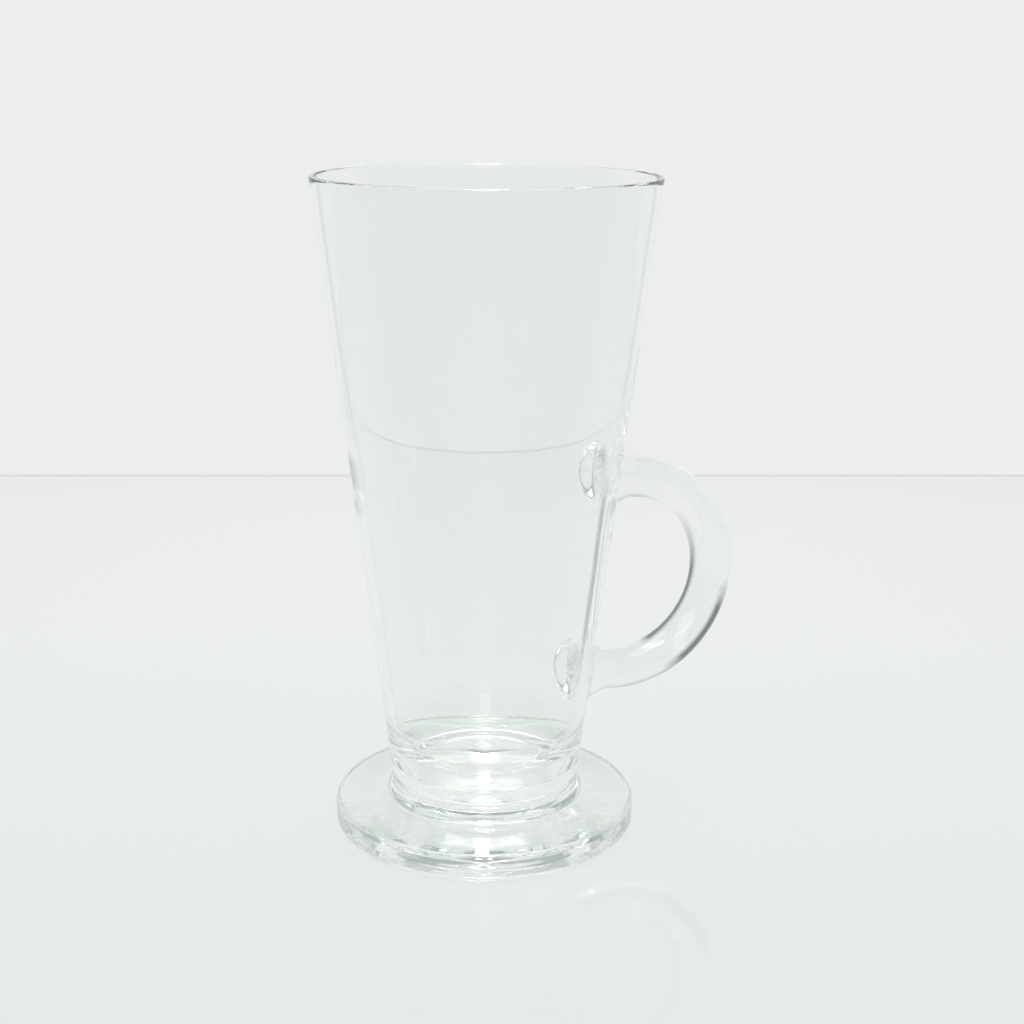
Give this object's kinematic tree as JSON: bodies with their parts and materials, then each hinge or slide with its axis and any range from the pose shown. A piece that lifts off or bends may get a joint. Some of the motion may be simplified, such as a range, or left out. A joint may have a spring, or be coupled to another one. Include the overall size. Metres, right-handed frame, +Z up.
{
  "type": "irish coffee glass mug",
  "caption": "Tall tapering clear glass mug on a short stem and round foot, with a C-shaped side handle, for hot coffee drinks.",
  "frame": {"origin": "centre of the foot's underside, on the table", "axes": "+Z up the bowl's axis, +X towards the handle"},
  "size_m": [0.1028, 0.0764, 0.15],
  "materials": {
    "bowl_glass": "clear, fire polished",
    "stem_glass": "clear, pressed",
    "foot_glass": "clear, pressed, with a greenish edge",
    "handle_glass": "clear, pressed"
  },
  "bodies": {
    "root": {"bowl": "bowl_glass", "stem": "stem_glass", "foot": "foot_glass", "handle": "handle_glass"}
  },
  "joints": []
}
